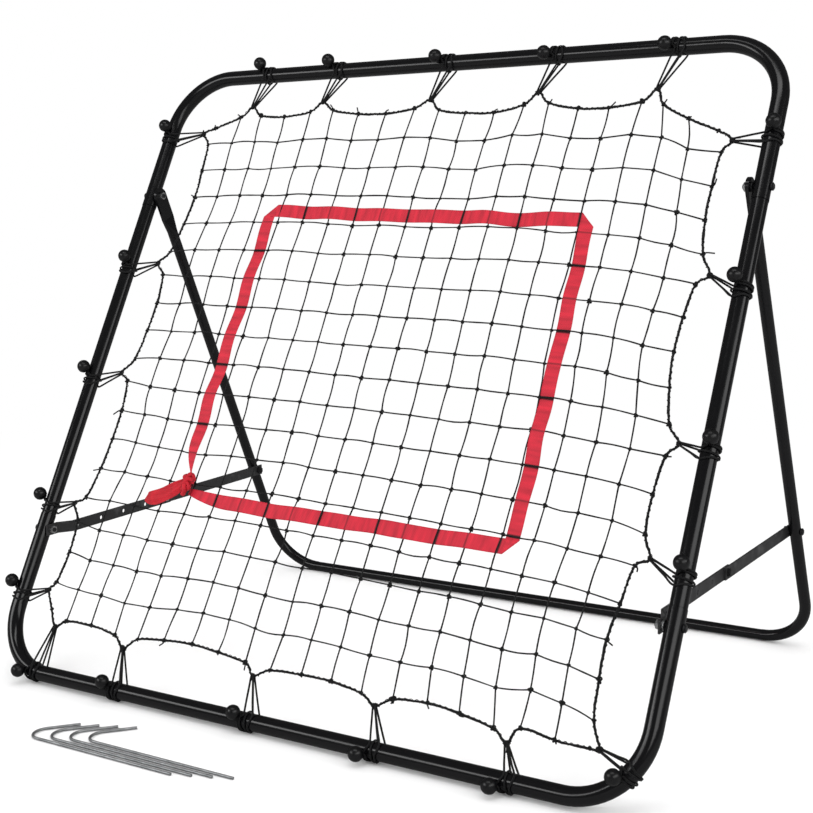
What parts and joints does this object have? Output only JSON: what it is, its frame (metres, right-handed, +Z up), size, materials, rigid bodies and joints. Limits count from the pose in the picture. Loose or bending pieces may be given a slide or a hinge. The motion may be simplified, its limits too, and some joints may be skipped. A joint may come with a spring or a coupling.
{
  "type": "pitch back rebounder",
  "caption": "Square tube frame leaning back on a folding rear support, with a knotted net on ball bungees and a ribbon target.",
  "frame": {"origin": "on the ground at the middle of the front bottom tube", "axes": "+X to the right across the frame as the player sees it, +Y away from the player, +Z up"},
  "size_m": [1.0173, 0.8054, 0.8687],
  "materials": {
    "frame_paint": "glossy black powder coat",
    "support_paint": "glossy black powder coat",
    "brace_paint": "satin black",
    "zinc": "bright zinc plate",
    "black_hardware": "blackened",
    "net_twine": "twisted black twine",
    "edge_twine": "braided black cord",
    "ribbon": "woven red ribbon",
    "elastic": "braided elastic",
    "ball_plastic": "satin black",
    "peg_wire": "galvanised"
  },
  "bodies": {
    "front_frame": {"top_tube": "frame_paint", "bottom_tube": "frame_paint", "left_upright": "frame_paint", "right_upright": "frame_paint", "pivot_bolts": "black_hardware", "pivot_washers": "black_hardware", "pivot_nuts": "zinc", "brace_bolts": "black_hardware", "brace_spacers": "zinc", "brace_nuts": "zinc", "net": "net_twine", "net_edge_cord": "edge_twine", "target_ribbon": "ribbon", "target_knot": "ribbon", "cords_top": "elastic", "cords_right": "elastic", "cords_bottom": "elastic", "cords_left": "elastic", "balls_top": "ball_plastic", "balls_right": "ball_plastic", "balls_bottom": "ball_plastic", "balls_left": "ball_plastic"},
    "rear_support": {"left_leg": "support_paint", "right_leg": "support_paint", "rear_bar": "support_paint", "leg_bolts": "black_hardware", "leg_nuts": "black_hardware"},
    "front_brace_left": {"front_brace_left": "brace_paint", "lap_screw_left": "zinc"},
    "front_brace_right": {"front_brace_right": "brace_paint", "lap_screw_right": "zinc"},
    "rear_brace_left": {"rear_brace_left": "brace_paint", "lap_nut_left": "black_hardware"},
    "rear_brace_right": {"rear_brace_right": "brace_paint", "lap_nut_right": "black_hardware"},
    "peg_1": {"peg_1": "peg_wire"},
    "peg_2": {"peg_2": "peg_wire"},
    "peg_3": {"peg_3": "peg_wire"},
    "peg_4": {"peg_4": "peg_wire"}
  },
  "joints": [
    {"name": "support_fold", "type": "hinge", "parent": "front_frame", "child": "rear_support", "pos_m": [0, 0.36799, 0.66142], "axis": [-1, 0, 0], "range_deg": [0, 40]},
    {"name": "front_brace_swing_left", "type": "hinge", "parent": "front_frame", "child": "front_brace_left", "pos_m": [-0.4626, 0.09978, 0.18929], "axis": [1, 0, 0], "range_deg": [0, 28]},
    {"name": "rear_brace_swing_left", "type": "hinge", "parent": "rear_support", "child": "rear_brace_left", "pos_m": [-0.4651, 0.56867, 0.18929], "axis": [-1, 0, 0], "range_deg": [0, 62]},
    {"name": "front_brace_swing_right", "type": "hinge", "parent": "front_frame", "child": "front_brace_right", "pos_m": [0.4626, 0.09978, 0.18929], "axis": [1, 0, 0], "range_deg": [0, 28]},
    {"name": "rear_brace_swing_right", "type": "hinge", "parent": "rear_support", "child": "rear_brace_right", "pos_m": [0.4651, 0.56867, 0.18929], "axis": [-1, 0, 0], "range_deg": [0, 62]},
    {"name": "peg_1_lift", "type": "slide", "parent": "front_frame", "child": "peg_1", "axis": [0, 0, 1], "range_m": [0, 0.15]},
    {"name": "peg_2_lift", "type": "slide", "parent": "front_frame", "child": "peg_2", "axis": [0, 0, 1], "range_m": [0, 0.15]},
    {"name": "peg_3_lift", "type": "slide", "parent": "front_frame", "child": "peg_3", "axis": [0, 0, 1], "range_m": [0, 0.15]},
    {"name": "peg_4_lift", "type": "slide", "parent": "front_frame", "child": "peg_4", "axis": [0, 0, 1], "range_m": [0, 0.15]}
  ],
  "couplings": [
    {"joint": "front_brace_swing_left", "follows": "support_fold", "ratio": 0.7},
    {"joint": "rear_brace_swing_left", "follows": "support_fold", "ratio": 1.55},
    {"joint": "front_brace_swing_right", "follows": "support_fold", "ratio": 0.7},
    {"joint": "rear_brace_swing_right", "follows": "support_fold", "ratio": 1.55}
  ]
}
